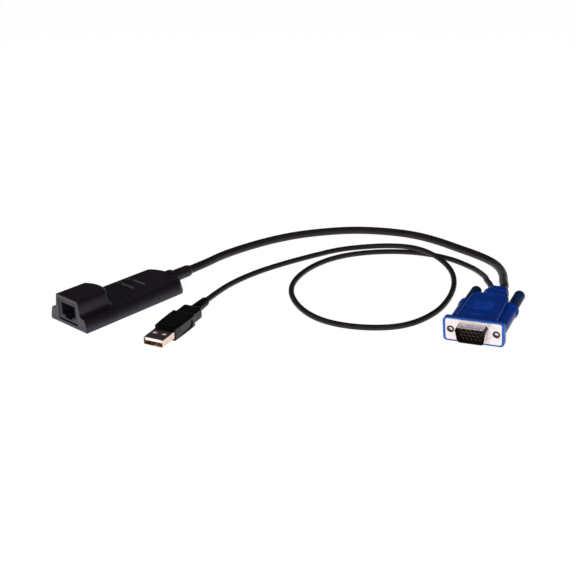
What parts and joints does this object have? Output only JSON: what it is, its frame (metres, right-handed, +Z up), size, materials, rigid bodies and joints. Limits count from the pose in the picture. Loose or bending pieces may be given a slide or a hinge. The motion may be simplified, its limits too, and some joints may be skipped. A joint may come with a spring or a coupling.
{
  "type": "kvm adapter",
  "caption": "Flat adapter housing with a raised network socket at one end and a cord to a video plug with thumbscrews, from which a thinner cord runs on to a USB plug.",
  "frame": {"origin": "middle of the housing's underside, on the surface that it lies on", "axes": "+Z up; +X along the housing, from the network socket to the end that the cable leaves; +Y to the left when looking along +X"},
  "size_m": [0.246, 0.2165, 0.0175],
  "materials": {
    "housing": "fine satin",
    "socket": "plain",
    "contact": "gold plated",
    "lens": "clear, unlit",
    "lamp": "clear resin",
    "board": "solder mask",
    "chip": "moulded",
    "can": "plain",
    "header": "moulded",
    "lead": "insulated wire",
    "screw_steel": "zinc plated",
    "relief": "soft satin",
    "jacket": "soft satin",
    "hood": "satin",
    "nickel": "nickel plated, satin",
    "insulator": "moulded",
    "pin": "gold plated",
    "potting": "moulded",
    "knob": "satin",
    "grip": "satin",
    "tongue": "moulded"
  },
  "bodies": {
    "adapter": {"upper_shell": "housing", "lower_shell": "housing", "circuit_board": "board", "network_jack": "socket", "jack_contacts": "contact", "link_light_pipe": "lens", "activity_light_pipe": "lens", "indicator_lamps": "lamp", "controller_chip": "chip", "video_driver_chip": "chip", "network_transformer": "chip", "crystal_can": "can", "cable_header": "header", "inner_leads": "lead", "case_screws": "screw_steel", "cable_relief": "relief", "main_cable": "jacket", "usb_cable": "jacket", "video_hood": "hood", "video_plate": "nickel", "video_insulator": "insulator", "video_pins": "pin", "video_back_shell": "nickel", "video_potting": "potting", "usb_grip": "grip", "usb_shell": "nickel", "usb_tongue": "tongue", "usb_contacts": "contact"},
    "left_thumbscrew": {"left_screw_shaft": "screw_steel", "left_screw_knob": "knob"},
    "right_thumbscrew": {"right_screw_shaft": "screw_steel", "right_screw_knob": "knob"}
  },
  "joints": [
    {"name": "left_thumbscrew_turn", "type": "hinge", "parent": "adapter", "child": "left_thumbscrew", "pos_m": [0.1121, -0.16489, 0.00919], "axis": [-0.9697, -0.2364, -0.061], "continuous": true},
    {"name": "right_thumbscrew_turn", "type": "hinge", "parent": "adapter", "child": "right_thumbscrew", "pos_m": [0.11788, -0.18912, 0.0112], "axis": [-0.9697, -0.2364, -0.061], "continuous": true}
  ]
}
